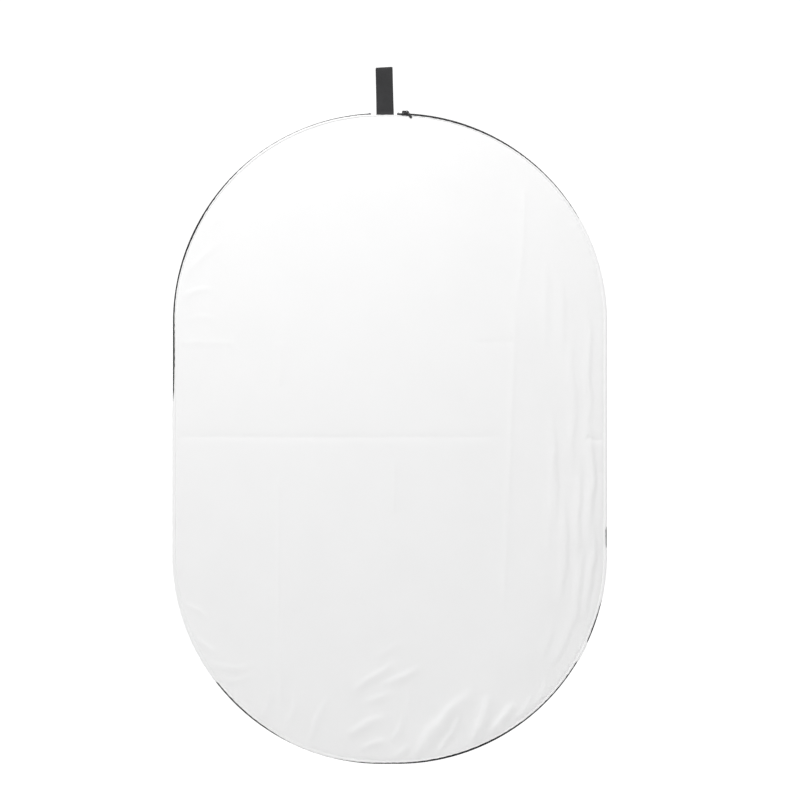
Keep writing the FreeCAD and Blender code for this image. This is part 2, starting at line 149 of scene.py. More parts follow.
def mesh_piece(name, points, faces, cloth=None):
    """A mesh with its cloth coordinates: given for each corner of each face, or else x and z."""
    mesh = bpy.data.meshes.new(name)
    mesh.from_pydata(points.tolist(), [], [list(face) for face in faces])
    mesh.polygons.foreach_set("use_smooth", [True] * len(mesh.polygons))
    if cloth is None:
        corners = np.zeros(len(mesh.loops), int)
        mesh.loops.foreach_get("vertex_index", corners)
        cloth = points[corners][:, [0, 2]]
    mesh.uv_layers.new(name="cloth").data.foreach_set("uv", cloth.astype(np.float32).ravel())
    piece = bpy.data.objects.new(name, mesh)
    bpy.context.scene.collection.objects.link(piece)
    return piece


def rim_strip(name, along, section, side, closed, wrap_section=False):
    """A strip round the rim. Each section point is (inset, level), each a number or one value per station."""
    stations = len(along)
    rows = []
    for inset, level in section:
        inset = np.broadcast_to(inset, stations)
        x, z = rim(along, inset)
        y = MIDDLE_Y + side * np.broadcast_to(level, stations)
        rows.append(np.stack([x, y, z], axis=-1))
    points = np.stack(rows, axis=1)
    steps = np.linalg.norm(np.diff(points, axis=1), axis=2).mean(axis=0)
    across = np.concatenate([[0.0], np.cumsum(steps)])
    cloth = np.stack(np.broadcast_arrays(along[:, None], across[None, :]), axis=-1)
    return grid_mesh(name, points, closed, wrap_section, cloth, flip=side == FRONT)


ROD_SIDES = 5
TIP_LENGTH, TIP_WIDTH = 0.6, 0.75


def chain(name, paths, radius):
    """Many short round rods in one mesh. Each path is the same number of points; the ends are closed.

    The tips are measured in radii.
    """
    count, length = paths.shape[:2]
    tangent = np.gradient(paths, axis=1)
    tangent /= np.linalg.norm(tangent, axis=2, keepdims=True)
    guide = np.cross(tangent[:, 0], tangent[:, -1])
    weak = np.linalg.norm(guide, axis=1) < 1e-6
    guide[weak] = np.cross(tangent[weak, 0], np.array([0.0, 1.0, 0.0]))
    guide /= np.linalg.norm(guide, axis=1, keepdims=True)
    guide = np.broadcast_to(guide[:, None, :], tangent.shape)
    other = np.cross(tangent, guide)
    angle = np.arange(ROD_SIDES) * 2 * math.pi / ROD_SIDES
    ring = np.cos(angle)[:, None] * guide[:, :, None, :] + np.sin(angle)[:, None] * other[:, :, None, :]
    points = paths[:, :, None, :] + radius * ring
    ends = np.stack([
        paths[:, 0] - radius * TIP_LENGTH * tangent[:, 0],
        paths[:, -1] + radius * TIP_LENGTH * tangent[:, -1],
    ], axis=1)
    points[:, 0] = paths[:, 0, None, :] + radius * TIP_WIDTH * ring[:, 0]
    points[:, -1] = paths[:, -1, None, :] + radius * TIP_WIDTH * ring[:, -1]
    size = length * ROD_SIDES + 2
    body = np.concatenate([points.reshape(count, -1, 3), ends], axis=1)
    faces = []
    for row in range(length - 1):
        for step in range(ROD_SIDES):
            here, there = row * ROD_SIDES + step, row * ROD_SIDES + (step + 1) % ROD_SIDES
            faces.append((here, there, there + ROD_SIDES, here + ROD_SIDES))
    # the ends are triangles, kept as four corners with the last one repeated until all rods are numbered
    last = (length - 1) * ROD_SIDES
    for step in range(ROD_SIDES):
        following = (step + 1) % ROD_SIDES
        faces.append((following, step, size - 2, size - 2))
        faces.append((last + step, last + following, size - 1, size - 1))
    starts = np.arange(count)[:, None, None] * size
    all_faces = (np.array(faces)[None] + starts).reshape(-1, 4)
    cleaned = [face[:3] if face[2] == face[3] else face for face in all_faces.tolist()]
    return mesh_piece(name, body.reshape(-1, 3), cleaned)


def finish_piece(piece, material, body="disc", replaces=()):
    """Give a piece its material, the body it rides on, and the CAD solids it stands for."""
    piece.data.materials.clear()
    piece.data.materials.append(material)
    if body:
        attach(piece, body)
    if replaces:
        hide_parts(*replaces)


# ---- Materials ----

PATCH_SCALE = 9.0
WEAR_SCALE = 45.0
GRAIN_DEPTH = 0.01 * MM


class Nodes:
    """A material's node tree, with short ways to add and join nodes."""

    def __init__(self, name):
        self.material = bpy.data.materials.new(name)
        self.material.use_nodes = True
        self.tree = self.material.node_tree
        self.shader = self.tree.nodes["Principled BSDF"]

    def add(self, kind, inputs=(), **settings):
        node = self.tree.nodes.new(kind)
        for key, setting in settings.items():
            setattr(node, key, setting)
        for socket, source in dict(inputs).items():
            self.feed(node.inputs[socket], source)
        return node

    def feed(self, socket, source):
        if isinstance(source, bpy.types.NodeSocket):
            self.tree.links.new(source, socket)
        else:
            socket.default_value = source

    def math(self, operation, first, second=0.0):
        return self.add("ShaderNodeMath", {0: first, 1: second}, operation=operation).outputs[0]

    def ramp(self, value, low, high, start=0.0, stop=1.0):
        inputs = {"Value": value, "From Min": start, "From Max": stop, "To Min": low, "To Max": high}
        return self.add("ShaderNodeMapRange", inputs).outputs[0]

    def noise(self, place, scale, detail=2.0):
        inputs = {"Vector": place, "Scale": scale, "Detail": detail}
        return self.add("ShaderNodeTexNoise", inputs).outputs[0]

    def mix(self, share, first, second):
        mixer = self.add("ShaderNodeMix", data_type="RGBA")
        for socket, source in ((0, share), (6, first), (7, second)):
            self.feed(mixer.inputs[socket], source)
        return mixer.outputs[2]

    def bump(self, height, depth):
        inputs = {"Height": height, "Distance": depth, "Strength": 1.0}
        return self.add("ShaderNodeBump", inputs).outputs[0]


def cloth_place(nodes):
    """The place on the flat cloth, in metres."""
    return nodes.add("ShaderNodeUVMap", uv_map="cloth").outputs[0]


def woven(name, colour, shade, pitch, depth, roughness=0.75, metallic=0.0, sheen=0.15):
    """Plain weave: crossing threads in relief, uneven yarn, and patches that are a little darker."""
    nodes = Nodes(name)
    place = cloth_place(nodes)
    parts = nodes.add("ShaderNodeSeparateXYZ", {0: place})
    turn = 2 * math.pi / pitch
    warp = nodes.math("SINE", nodes.math("MULTIPLY", parts.outputs[0], turn))
    weft = nodes.math("SINE", nodes.math("MULTIPLY", parts.outputs[1], turn))
    threads = nodes.ramp(nodes.math("MULTIPLY", warp, weft), 0.0, 1.0, -1.0, 1.0)
    yarn = nodes.noise(place, 0.35 / pitch, 1.0)
    patches = nodes.noise(place, PATCH_SCALE, 3.0)
    tone = nodes.math("ADD", nodes.ramp(patches, 0.0, 0.75, 0.3, 0.7), nodes.ramp(yarn, 0.0, 0.25, 0.3, 0.7))
    nodes.feed(nodes.shader.inputs["Base Color"], nodes.mix(tone, (*colour, 1), (*shade, 1)))
    nodes.feed(nodes.shader.inputs["Roughness"], nodes.ramp(yarn, roughness - 0.07, roughness + 0.07))
    nodes.shader.inputs["Metallic"].default_value = metallic
    nodes.shader.inputs["Sheen Weight"].default_value = sheen
    nodes.shader.inputs["Sheen Roughness"].default_value = 0.4
    relief = nodes.math("ADD", threads, nodes.math("MULTIPLY", yarn, 0.6))
    nodes.feed(nodes.shader.inputs["Normal"], nodes.bump(relief, depth))
    return nodes.material


def ribbed(name, colour, shade, pitch, depth):
    """Webbing or zip tape: a herringbone of twill lines, with painted highlight where the yarn stands up and
    painted shade in the grooves between.
    """
    nodes = Nodes(name)
    place = cloth_place(nodes)
    parts = nodes.add("ShaderNodeSeparateXYZ", {0: place})
    turn = 2 * math.pi / pitch
    zigzag = nodes.math("PINGPONG", parts.outputs[1], pitch * 2.5)
    slope = nodes.math("ADD", parts.outputs[0], zigzag)
    twill = nodes.ramp(nodes.math("SINE", nodes.math("MULTIPLY", slope, turn)), 0.0, 1.0, -1.0, 1.0)
    fuzz = nodes.noise(place, 1.5 / pitch, 2.0)
    wear = nodes.noise(place, WEAR_SCALE, 3.0)
    # painted shade and highlight: the colour follows the twill's relief, dark in its grooves and pale on its
    # raised yarn; random wear patches darken it as well
    tone = nodes.math("MULTIPLY", nodes.ramp(wear, 0.3, 1.0, 0.3, 0.7), nodes.math("ADD", twill, fuzz))
    groove_shade_and_wear = nodes.mix(nodes.ramp(tone, 0, 1, 0, 1.4), (*shade, 1), (*colour, 1))
    nodes.feed(nodes.shader.inputs["Base Color"], groove_shade_and_wear)
    nodes.feed(nodes.shader.inputs["Roughness"], nodes.ramp(fuzz, 0.7, 0.9))
    nodes.shader.inputs["Sheen Weight"].default_value = 0.2
    nodes.feed(nodes.shader.inputs["Normal"], nodes.bump(nodes.math("ADD", twill, fuzz), depth))
    return nodes.material


def metal(name, colour, worn, roughness, metallic=1.0, grain=900.0):
    """Metal, nylon or thread: fine grain in relief, and smudges that change the tone and the gloss."""
    nodes = Nodes(name)
    place = nodes.add("ShaderNodeTexCoord").outputs["Object"]
    fine = nodes.noise(place, grain, 2.0)
    smudge = nodes.noise(place, grain / 6, 3.0)
    tint = nodes.mix(nodes.ramp(smudge, 0, 1, 0.45, 0.7), (*colour, 1), (*worn, 1))
    gloss = nodes.ramp(smudge, roughness - 0.03, roughness + 0.05, 0.3, 0.7)
    nodes.feed(nodes.shader.inputs["Base Color"], tint)
    nodes.feed(nodes.shader.inputs["Roughness"], gloss)
    nodes.shader.inputs["Metallic"].default_value = metallic
    nodes.feed(nodes.shader.inputs["Normal"], nodes.bump(fine, GRAIN_DEPTH))
    return nodes.material


WHITE = woven("white_fabric", (0.93, 0.93, 0.93), (0.915, 0.915, 0.915), 0.42 * MM, 0.03 * MM)
GOLD = woven("gold_fabric", (0.95, 0.70, 0.26), (0.93, 0.68, 0.24), 0.6 * MM, 0.04 * MM, 0.36, 0.75, 0.0)
SILVER = woven("silver_fabric", (0.75, 0.76, 0.78), (0.73, 0.74, 0.76), 0.6 * MM, 0.04 * MM, 0.36, 0.75, 0.0)
LINING = woven("black_lining", (0.020, 0.020, 0.022), (0.012, 0.012, 0.013), 0.5 * MM, 0.04 * MM)
DIFFUSER = woven("diffuser_cloth", (0.94, 0.94, 0.94), (0.9, 0.9, 0.9), 0.35 * MM, 0.02 * MM)
BINDING = ribbed("binding_tape", (0.035, 0.035, 0.038), (0.012, 0.012, 0.013), 1.1 * MM, 0.08 * MM)
WEBBING = ribbed("black_webbing", (0.031, 0.031, 0.033), (0.014, 0.014, 0.015), 1.3 * MM, 0.10 * MM)
TAPE = ribbed("zip_tape_cloth", (0.019, 0.019, 0.021), (0.007, 0.007, 0.008), 0.7 * MM, 0.06 * MM)
COIL = metal("coil_nylon", (0.012, 0.012, 0.013), (0.028, 0.028, 0.030), 0.42, 0.0)
THREAD_WHITE = metal("white_thread", (0.90, 0.90, 0.90), (0.80, 0.80, 0.81), 0.7, 0.0)
THREAD_GOLD = metal("gold_thread", (0.62, 0.42, 0.12), (0.45, 0.29, 0.07), 0.6, 0.0)
LACQUER = metal("slider_lacquer", (0.012, 0.012, 0.013), (0.024, 0.024, 0.025), 0.38, 0.0, 1400.0)
WIRE = metal("link_steel", (0.48, 0.48, 0.49), (0.62, 0.62, 0.63), 0.28)
CLIP = metal("stop_metal", (0.13, 0.13, 0.135), (0.22, 0.22, 0.23), 0.4)
SPRING = metal("spring_steel_strip", (0.46, 0.47, 0.50), (0.33, 0.36, 0.42), 0.3)
CRIMP = metal("crimp_steel", (0.55, 0.55, 0.56), (0.40, 0.40, 0.41), 0.4)


# ---- Camera and light ----

VIEW_SPAN = 1.477
VIEW_CENTRE = Vector((0.0188, 0.0, 0.071))
LENS = 110.0
SENSOR = 36.0
FLOOR_DROP = 0.25
FLOOR_RADIUS = 1.12
FILL = 0.43
BACKGROUND = 1.1
LAMP_AIM = (0, 0, 0.2)

camera_data = bpy.data.cameras.new("camera")
camera_data.lens = LENS
camera_data.sensor_width = SENSOR
camera = bpy.data.objects.new("camera", camera_data)
camera.location = VIEW_CENTRE - Vector((0, VIEW_SPAN * LENS / SENSOR, 0))
camera.rotation_euler = (math.pi / 2, 0, 0)
bpy.context.scene.collection.objects.link(camera)
bpy.context.scene.camera = camera
bpy.context.scene.view_settings.view_transform = "Standard"
bpy.context.scene.view_settings.look = "None"


def softbox(name, place, aim, size, power):
    """A round lamp, turned towards a point."""
    light = bpy.data.lights.new(name, "AREA")
    light.shape = "DISK"
    light.size = size
    light.energy = power
    lamp = bpy.data.objects.new(name, light)
    lamp.location = place
    lamp.rotation_euler = (Vector(aim) - Vector(place)).to_track_quat("-Z", "Y").to_euler()
    bpy.context.scene.collection.objects.link(lamp)


def studio():
    """Even fill from all round, a white background, two softboxes, and a floor that fades to white."""
    world = bpy.data.worlds.new("studio")
    world.use_nodes = True
    tree = world.node_tree
    fill = tree.nodes["Background"]
    fill.inputs["Strength"].default_value = FILL
    fill.inputs["Color"].default_value = (1, 1, 1, 1)
    seen = tree.nodes.new("ShaderNodeBackground")
    seen.inputs["Strength"].default_value = BACKGROUND
    seen.inputs["Color"].default_value = (1, 1, 1, 1)
    rays = tree.nodes.new("ShaderNodeLightPath")
    mixer = tree.nodes.new("ShaderNodeMixShader")
    tree.links.new(rays.outputs["Is Camera Ray"], mixer.inputs[0])
    tree.links.new(fill.outputs[0], mixer.inputs[1])
    tree.links.new(seen.outputs[0], mixer.inputs[2])
    tree.links.new(mixer.outputs[0], tree.nodes["World Output"].inputs["Surface"])
    bpy.context.scene.world = world
    softbox("key", place=(-0.6, -2.2, 2.1), aim=LAMP_AIM, size=0.6, power=61.5)
    softbox("back_key", place=(0.9, 1.9, 2.1), aim=LAMP_AIM, size=0.8, power=64)

    floor_z = -HALF_HEIGHT - FLOOR_DROP
    turns = np.linspace(0, 2 * math.pi, 96, endpoint=False)
    reaches = np.linspace(0.001, FLOOR_RADIUS, 24)
    spread = np.stack(np.broadcast_arrays(
        np.cos(turns)[:, None] * reaches, np.sin(turns)[:, None] * reaches, floor_z), axis=-1)
    ground = grid_mesh("floor", spread, wrap_rows=True)
    nodes = Nodes("floor")
    place = nodes.add("ShaderNodeTexCoord").outputs["Object"]
    flat = nodes.add("ShaderNodeVectorMath", {0: place, 1: (1, 1, 0)}, operation="MULTIPLY").outputs[0]
    reach = nodes.add("ShaderNodeVectorMath", {0: flat}, operation="LENGTH").outputs["Value"]
    nodes.shader.inputs["Base Color"].default_value = (0.68, 0.68, 0.68, 1)
    nodes.shader.inputs["Roughness"].default_value = 0.9
    nodes.shader.inputs["Emission Color"].default_value = (1, 1, 1, 1)
    nodes.feed(nodes.shader.inputs["Emission Strength"], nodes.ramp(reach, 0.0, 0.55, 0.45, 1.05))
    ground.data.materials.append(nodes.material)


studio()


# ---- Cover panels ----

FRONT_SEED, BACK_SEED = 21, 34
FRONT_HEM_SEED, BACK_HEM_SEED = 5, 6
FACE_RINGS = 157
LINING_RINGS = 80
HEM_STATIONS = 3000
STRAP_HOLD = 40 * MM


def line_distance(x, z, start, middle, end):
    """Distance to a bent line, signed by its side, and how far along the line the nearest point is."""
    steps = np.linspace(0, 1, 25)[:, None]
    start, middle, end = (np.array(point, float) for point in (start, middle, end))
    bend = 2 * middle - (start + end) / 2
    curve = (1 - steps) ** 2 * start + 2 * steps * (1 - steps) * bend + steps ** 2 * end
    nearest = np.full(x.shape, np.inf)
    share = np.zeros(x.shape)
    signed = np.zeros(x.shape)
    for number, (here, there) in enumerate(zip(curve[:-1], curve[1:])):
        run = there - here
        length = np.hypot(*run)
        part = np.clip(((x - here[0]) * run[0] + (z - here[1]) * run[1]) / length ** 2, 0, 1)
        away = np.hypot(x - here[0] - part * run[0], z - here[1] - part * run[1])
        closer = away < nearest
        cross = run[0] * (z - here[1]) - run[1] * (x - here[0])
        nearest = np.where(closer, away, nearest)
        signed = np.where(closer, np.where(cross >= 0, away, -away), signed)
        share = np.where(closer, (number + part) / (len(curve) - 1), share)
    return signed, share


def fold(x, z, start, middle, end, width, height, lean=1.2):
    """A soft ridge along a bent line: highest in mid-length, and steeper on its left side."""
    signed, share = line_distance(x, z, start, middle, end)
    across = signed / width
    across = np.where(across > 0, across * (1 + lean), across)
    return height * np.exp(-across ** 2) * np.sin(np.pi * np.clip(share, 0.02, 0.98)) ** 0.7


def crease(x, z, start, middle, end, width, height):
    """A sharp bend along a line, left by packing."""
    signed, share = line_distance(x, z, start, middle, end)
    ends = np.clip(12 * np.minimum(share, 1 - share), 0, 1)
    return height * np.exp(-np.sqrt((signed / width) ** 2 + 0.05)) * ends


def warped(x, z, generator, shift):
    """The same points pushed about a little, so that what is drawn at them turns out uneven."""
    across = waves(x, z, generator, 6, 0.05, 0.22, shift)
    up = waves(x, z, generator, 6, 0.05, 0.22, shift)
    return x + across, z + up


def waves(x, z, generator, count, shortest, longest, height):
    """Gentle unevenness: a sum of long waves in all directions."""
    total = np.zeros(x.shape)
    for _ in range(count):
        heading = generator.uniform(0, math.pi)
        length = generator.uniform(shortest, longest)
        phase = generator.uniform(0, 2 * math.pi)
        total += np.sin(2 * math.pi * (x * math.cos(heading) + z * math.sin(heading)) / length + phase)
    return height * total / math.sqrt(count)


def edge_puckers(along, inset, generator, count, height, reach):
    """Short gathers that run in from the seam and die away. The strap's tails hold the cloth smooth."""
    total = np.zeros(along.shape)
    for _ in range(count):
        centre = generator.uniform(0, RIM_LENGTH)
        width = generator.uniform(3, 9) * MM
        depth = generator.uniform(0.4, 1.0) * reach
        size = generator.uniform(-1, 1)
        slant = generator.uniform(-0.5, 0.5)
        away = np.abs(along - centre - slant * inset)
        away = np.minimum(away, RIM_LENGTH - away)
        near = (away < 4 * width) & (inset < 4 * depth)
        total[near] += size * np.exp(-(away[near] / width) ** 2 - inset[near] / depth)
    slot_middle = (SLOT_LEFT + SLOT_RIGHT) / 2
    from_strap = np.minimum(np.abs(along - slot_middle), np.abs(along - slot_middle - RIM_LENGTH))
    return height * total * (1 - np.exp(-(from_strap / STRAP_HOLD) ** 2))


# Bends left by packing the disc away, and folds where the cloth is slack: start, middle, end, width, height.
# Where a fold has a sixth value it is the lean, and 0 makes both sides alike.
FRONT_CREASES = [
    ((-0.430, 0.004), (-0.10, 0.002), (0.220, 0.003), 5.0 * MM, -1.1 * MM),
    ((0.232, 0.245), (0.222, -0.02), (0.209, -0.32), 5.0 * MM, 1.2 * MM),
    ((-0.203, 0.18), (-0.201, 0.14), (-0.203, 0.095), 5.0 * MM, 1.2 * MM),
    ((-0.203, -0.055), (-0.205, -0.28), (-0.200, -0.500), 5.0 * MM, 1.6 * MM),
    ((0.010, -0.035), (0.008, -0.09), (0.006, -0.14), 5.0 * MM, 1.2 * MM),
    ((-0.410, 0.176), (-0.35, 0.177), (-0.28, 0.175), 6.0 * MM, 0.7 * MM),
    ((0.248, 0.47), (0.245, 0.36), (0.234, 0.25), 6.0 * MM, 0.9 * MM),
    ((0.225, 0.175), (0.212, 0.178), (0.150, 0.176), 5.0 * MM, -0.6 * MM),
    ((0.300, -0.02), (0.296, -0.10), (0.292, -0.21), 6.0 * MM, 0.9 * MM),
    ((0.362, 0.004), (0.378, -0.003), (0.393, -0.001), 4.5 * MM, -2.2 * MM),
]
FRONT_FOLDS = [
    # lower right: a broad slack swell
    ((0.165, -0.480), (0.285, -0.300), (0.335, -0.060), 70 * MM, 4.0 * MM, 0.0),
    # bottom right: broad folds that run up to the right from the rim
    ((0.046, -0.585), (0.088, -0.525), (0.156, -0.460), 19 * MM, 6.1 * MM),
    ((0.088, -0.580), (0.110, -0.545), (0.135, -0.505), 9 * MM, 2.3 * MM),
    ((0.152, -0.562), (0.168, -0.520), (0.184, -0.468), 15 * MM, 5.7 * MM),
    ((0.180, -0.545), (0.205, -0.515), (0.232, -0.482), 13 * MM, 4.9 * MM),
    ((0.222, -0.520), (0.245, -0.500), (0.262, -0.468), 9 * MM, 2.5 * MM),
    ((0.256, -0.498), (0.275, -0.475), (0.290, -0.445), 8 * MM, 1.7 * MM),
    # bottom centre: short broken folds
    ((-0.072, -0.465), (-0.030, -0.437), (0.012, -0.412), 10 * MM, 2.8 * MM),
    ((-0.012, -0.456), (0.022, -0.440), (0.055, -0.420), 9 * MM, 2.7 * MM),
    ((-0.050, -0.490), (-0.025, -0.478), (0.010, -0.470), 8 * MM, 1.7 * MM),
    ((-0.030, -0.405), (-0.005, -0.390), (0.022, -0.372), 8 * MM, 1.3 * MM),
    ((-0.078, -0.545), (-0.045, -0.525), (-0.010, -0.510), 12 * MM, 3.2 * MM),
    ((-0.055, -0.575), (-0.030, -0.560), (-0.006, -0.556), 9 * MM, 2.3 * MM),
    ((0.000, -0.560), (0.015, -0.535), (0.022, -0.505), 9 * MM, 2.3 * MM),
    ((0.004, -0.588), (0.020, -0.578), (0.034, -0.560), 8 * MM, 2.3 * MM),
    ((0.028, -0.500), (0.034, -0.480), (0.030, -0.462), 7 * MM, 1.1 * MM),
    ((-0.150, -0.560), (-0.135, -0.515), (-0.112, -0.470), 9 * MM, 1.5 * MM),
    ((-0.200, -0.540), (-0.180, -0.500), (-0.170, -0.455), 9 * MM, 1.3 * MM),
    ((-0.238, -0.520), (-0.222, -0.480), (-0.215, -0.450), 9 * MM, 1.1 * MM),
    # bottom left
    ((-0.348, -0.405), (-0.300, -0.424), (-0.250, -0.412), 7 * MM, 1.7 * MM),
    ((-0.325, -0.437), (-0.290, -0.446), (-0.250, -0.432), 6 * MM, 1.5 * MM),
    ((-0.365, -0.350), (-0.345, -0.375), (-0.320, -0.392), 7 * MM, 1.5 * MM),
    ((-0.385, -0.300), (-0.360, -0.310), (-0.335, -0.330), 7 * MM, 1.1 * MM),
    # left side near the top
    ((-0.372, 0.300), (-0.350, 0.335), (-0.318, 0.362), 8 * MM, 1.0 * MM),
    ((-0.380, 0.262), (-0.355, 0.275), (-0.325, 0.278), 8 * MM, 1.0 * MM),
    ((-0.380, 0.215), (-0.352, 0.225), (-0.322, 0.218), 10 * MM, 0.4 * MM),
    ((-0.345, 0.375), (-0.330, 0.398), (-0.300, 0.415), 8 * MM, 0.8 * MM),
    # right side: upright ripples, deeper towards the bottom
    ((0.296, 0.060), (0.304, -0.060), (0.300, -0.165), 11 * MM, 1.5 * MM),
    ((0.330, 0.190), (0.338, 0.050), (0.330, -0.080), 12 * MM, 1.3 * MM),
    ((0.362, 0.250), (0.368, 0.120), (0.362, 0.010), 9 * MM, 1.5 * MM),
    ((0.368, 0.040), (0.374, -0.080), (0.364, -0.200), 11 * MM, 2.5 * MM),
    ((0.344, -0.040), (0.350, -0.130), (0.342, -0.220), 10 * MM, 2.1 * MM),
    ((0.318, -0.110), (0.324, -0.200), (0.312, -0.300), 11 * MM, 2.0 * MM),
    ((0.352, -0.200), (0.350, -0.280), (0.332, -0.360), 10 * MM, 2.3 * MM),
    ((0.376, -0.150), (0.374, -0.240), (0.356, -0.330), 9 * MM, 2.3 * MM),
    ((0.335, -0.335), (0.318, -0.385), (0.290, -0.425), 10 * MM, 1.6 * MM),
    ((0.300, -0.330), (0.292, -0.375), (0.270, -0.410), 9 * MM, 1.0 * MM),
    ((0.285, 0.330), (0.290, 0.250), (0.286, 0.160), 10 * MM, 0.7 * MM),
    ((0.315, 0.300), (0.320, 0.240), (0.318, 0.170), 9 * MM, 0.9 * MM),
]
BACK_CREASES = [
    ((-0.392, -0.010), (0.00, -0.006), (0.392, -0.012), 5.0 * MM, -0.70 * MM),
    ((-0.210, -0.50), (-0.206, 0.00), (-0.214, 0.49), 5.0 * MM, 0.60 * MM),
    ((0.204, -0.50), (0.209, 0.00), (0.202, 0.50), 5.0 * MM, 0.60 * MM),
]


def held_down(inset):
    """Nothing at the seam, rising to one a little way in."""
    return 1 - np.exp(-np.maximum(inset - SEAM_INSET, 0) / (6 * MM))


def front_relief(x, z):
    """How far the white face stands out, from the creases and folds that the photo shows."""
    along, inset = rim_coordinates(x, z)
    generator = np.random.default_rng(FRONT_SEED)
    height = waves(x, z, generator, 9, 0.09, 0.35, 0.16 * MM)
    for line in FRONT_CREASES:
        height += crease(x, z, *line)
    uneven = warped(x, z, generator, 2.0 * MM)
    for line in FRONT_FOLDS:
        height += fold(*uneven, *line)
    height *= held_down(inset)
    # the puckers are deeper towards the lower right
    slack = 0.5 + 0.5 * np.clip(x / HALF_WIDTH - z / HALF_HEIGHT, 0, 1)
    return height + slack * edge_puckers(along, inset - SEAM_INSET, generator, 300, 0.42 * MM, 16 * MM)


def back_relief(x, z):
    """How far the gold face stands out: three packing creases and folds that run in from the rim."""
    along, inset = rim_coordinates(x, z)
    generator = np.random.default_rng(BACK_SEED)
    height = waves(x, z, generator, 12, 0.07, 0.30, 0.28 * MM)
    for line in BACK_CREASES:
        height += crease(x, z, *line)
    uneven = warped(x, z, generator, 3.0 * MM)
    for _ in range(34):
        start_along = generator.uniform(0, RIM_LENGTH)
        start = np.array(rim(start_along, 14 * MM))
        inwards = -np.array(rim_normal(start_along))
        sideways = np.array([-inwards[1], inwards[0]])
        length = generator.uniform(0.06, 0.20)
        drift = generator.uniform(-0.5, 0.5)
        end = start + length * (inwards + drift * sideways)
        middle = (start + end) / 2 + generator.uniform(-0.1, 0.1) * length * sideways
        width, rise = generator.uniform(8, 16) * MM, generator.uniform(0.5, 1.8) * MM
        height += fold(*uneven, start, middle, end, width, rise)
    height *= held_down(inset)
    return height + edge_puckers(along, inset - SEAM_INSET, generator, 340, 0.6 * MM, 18 * MM)


def oval_sheet(name, side, rings, edge_inset, level, relief, dip=0.0):
    """A cloth panel: a square net laid over the oval, its nested squares becoming nested ovals."""
    i, j = np.meshgrid(np.arange(-rings, rings + 1), np.arange(-rings, rings + 1), indexing="ij")
    ring = np.maximum(np.abs(i), np.abs(j))
    size = np.maximum(ring, 1)
    share = np.select(
        [j == ring, i == ring, j == -ring],
        [i / (8 * size), 1 / 8 + (ring - j) / (8 * size), 3 / 8 + (ring - i) / (8 * size)],
        5 / 8 + (j + ring) / (8 * size),
    )
    x, z = rim(np.mod(share, 1.0) * RIM_LENGTH, edge_inset)
    x, z = x * ring / rings, z * ring / rings
    height = level + relief(x, z)
    depth = rim_coordinates(x, z)[1] - edge_inset
    height -= dip * np.exp(-(depth / SEAM_DIP_WIDTH) ** 2)
    points = np.stack([x, MIDDLE_Y + side * height, z], axis=-1)
    cloth = np.stack([x, z], axis=-1)
    return grid_mesh(name, points, cloth=cloth, flip=side == FRONT)


# Where the white edge draws back from the zip: distance round the rim, and the edge's inset in millimetres.
FRONT_EDGE = [
    (0.000, 3.9), (0.011, 3.9), (0.014, 4.4), (0.022, 4.4), (0.024, 5.5), (0.035, 5.5), (0.039, 4.4),
    (0.095, 4.4), (0.150, 4.3), (0.220, 3.5), (0.300, 2.6), (0.360, 1.9), (0.400, 1.5), (0.418, 1.2),
    (0.426, -0.2), (0.600, -0.2), (0.990, -0.2), (1.003, 2.4), (1.030, 2.2), (1.040, 0.0), (1.125, 0.3),
    (1.145, 2.0), (1.180, 3.0), (1.212, 2.6), (1.219, -0.2), (1.252, -0.2), (1.258, 2.5), (1.400, 3.2),
    (1.478, 4.3), (1.556, 4.4), (1.650, 3.2), (1.720, 2.4), (1.781, 1.1), (1.857, 1.2), (1.911, 3.0),
    (1.980, 3.4), (2.034, 3.0), (2.041, 0.4), (2.200, -0.2), (2.560, -0.2), (2.590, 2.6), (2.650, 4.0),
    (2.780, 3.2), (2.900, 4.2), (3.000, 2.8), (3.074, 1.6), (3.180, 1.6), (3.210, 1.8), (3.285, 2.3),
    (3.300, 2.6), (3.312, 3.9), (3.339, 3.9),
]


def edge_inset(along, side, generator):
    """How far the cover's edge lies inside the outline, with the small unevenness of sewing."""
    if side == FRONT:
        places, insets = zip(*FRONT_EDGE)
        base = np.interp(along, places, insets)
    else:
        base = 1.5 + 0.9 * np.sin(2 * math.pi * 3 * along / RIM_LENGTH + 1.0)
        base = base + 0.5 * np.sin(2 * math.pi * 7 * along / RIM_LENGTH)
        away = np.minimum(along, RIM_LENGTH - along)
        base = base + (3.0 - base) * np.clip(2 - away / (30 * MM), 0, 1)
    for _ in range(14):
        length = RIM_LENGTH / generator.integers(60, 320)
        base = base + 0.05 * np.sin(2 * math.pi * along / length + generator.uniform(0, 2 * math.pi))
    return base * MM


# The hem in section. Roll: share of the way from the seam to the edge, and height in parts of the puff.
# Lip: millimetres inwards from the edge, and millimetres down from the face.
HEM_ROLL = [(0.05, -1.3), (0.16, -0.1), (0.32, 0.75), (0.5, 1.0), (0.68, 0.8), (0.82, 0.2)]
HEM_LIP = [(0.3, 0.1), (0.06, 0.35), (0.0, 0.65), (0.12, 1.0), (0.5, 1.15), (2.0, 1.2), (3.4, 1.25)]
HEM_PUFF = 0.55 * MM


